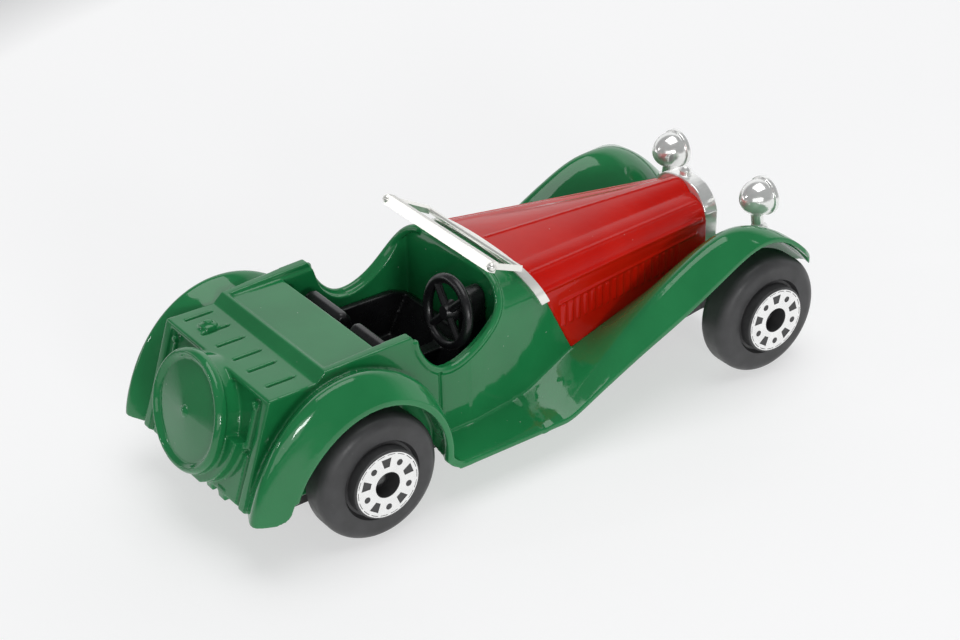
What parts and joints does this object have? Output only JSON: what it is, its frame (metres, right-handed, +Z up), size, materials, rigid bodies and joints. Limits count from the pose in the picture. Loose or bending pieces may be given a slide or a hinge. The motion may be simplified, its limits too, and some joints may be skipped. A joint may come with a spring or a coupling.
{
  "type": "diecast collector car",
  "caption": "Small diecast model of a 1930s open two-seat sports car, green with a red bonnet, chrome trim and free-rolling wheels.",
  "frame": {"origin": "on the ground, in the middle of the car's length and on its centre plane", "axes": "+X towards the nose, +Y towards the car's left side, +Z up"},
  "size_m": [0.0691, 0.0294, 0.0218],
  "materials": {
    "green_enamel": "gloss",
    "red_enamel": "gloss",
    "black_metal": "satin",
    "bare_metal": "satin",
    "black_plastic": "satin",
    "chrome_trim": "polished",
    "dark_grille": "matte",
    "wheel_plastic": "satin",
    "silver_foil": "gloss"
  },
  "bodies": {
    "car": {"body_casting": "green_enamel", "bonnet": "red_enamel", "base_plate": "black_metal", "rivet_rear": "bare_metal", "rivet_front": "bare_metal", "interior_tray": "black_plastic", "seat_left": "black_plastic", "seat_right": "black_plastic", "steering_wheel": "black_plastic", "windscreen_frame": "chrome_trim", "radiator_shell": "chrome_trim", "radiator_grille": "dark_grille", "headlamp_left": "chrome_trim", "headlamp_right": "chrome_trim"},
    "front_axle": {"axle_front": "bare_metal"},
    "rear_axle": {"axle_rear": "bare_metal"},
    "rear_left_wheel": {"wheel_rear_left": "wheel_plastic", "foil_rear_left": "silver_foil"},
    "rear_right_wheel": {"wheel_rear_right": "wheel_plastic", "foil_rear_right": "silver_foil"},
    "front_left_wheel": {"wheel_front_left": "wheel_plastic", "foil_front_left": "silver_foil"},
    "front_right_wheel": {"wheel_front_right": "wheel_plastic", "foil_front_right": "silver_foil"}
  },
  "joints": [
    {"name": "rear_axle_turn", "type": "hinge", "parent": "car", "child": "rear_axle", "pos_m": [-0.0203, 0, 0.0065], "axis": [0, 1, 0], "continuous": true},
    {"name": "rear_left_wheel_roll", "type": "hinge", "parent": "rear_axle", "child": "rear_left_wheel", "pos_m": [-0.0203, 0.0118, 0.0065], "axis": [0, 1, 0], "continuous": true},
    {"name": "rear_right_wheel_roll", "type": "hinge", "parent": "rear_axle", "child": "rear_right_wheel", "pos_m": [-0.0203, -0.0118, 0.0065], "axis": [0, 1, 0], "continuous": true},
    {"name": "front_axle_turn", "type": "hinge", "parent": "car", "child": "front_axle", "pos_m": [0.0277, 0, 0.0065], "axis": [0, 1, 0], "continuous": true},
    {"name": "front_left_wheel_roll", "type": "hinge", "parent": "front_axle", "child": "front_left_wheel", "pos_m": [0.0277, 0.0118, 0.0065], "axis": [0, 1, 0], "continuous": true},
    {"name": "front_right_wheel_roll", "type": "hinge", "parent": "front_axle", "child": "front_right_wheel", "pos_m": [0.0277, -0.0118, 0.0065], "axis": [0, 1, 0], "continuous": true}
  ]
}
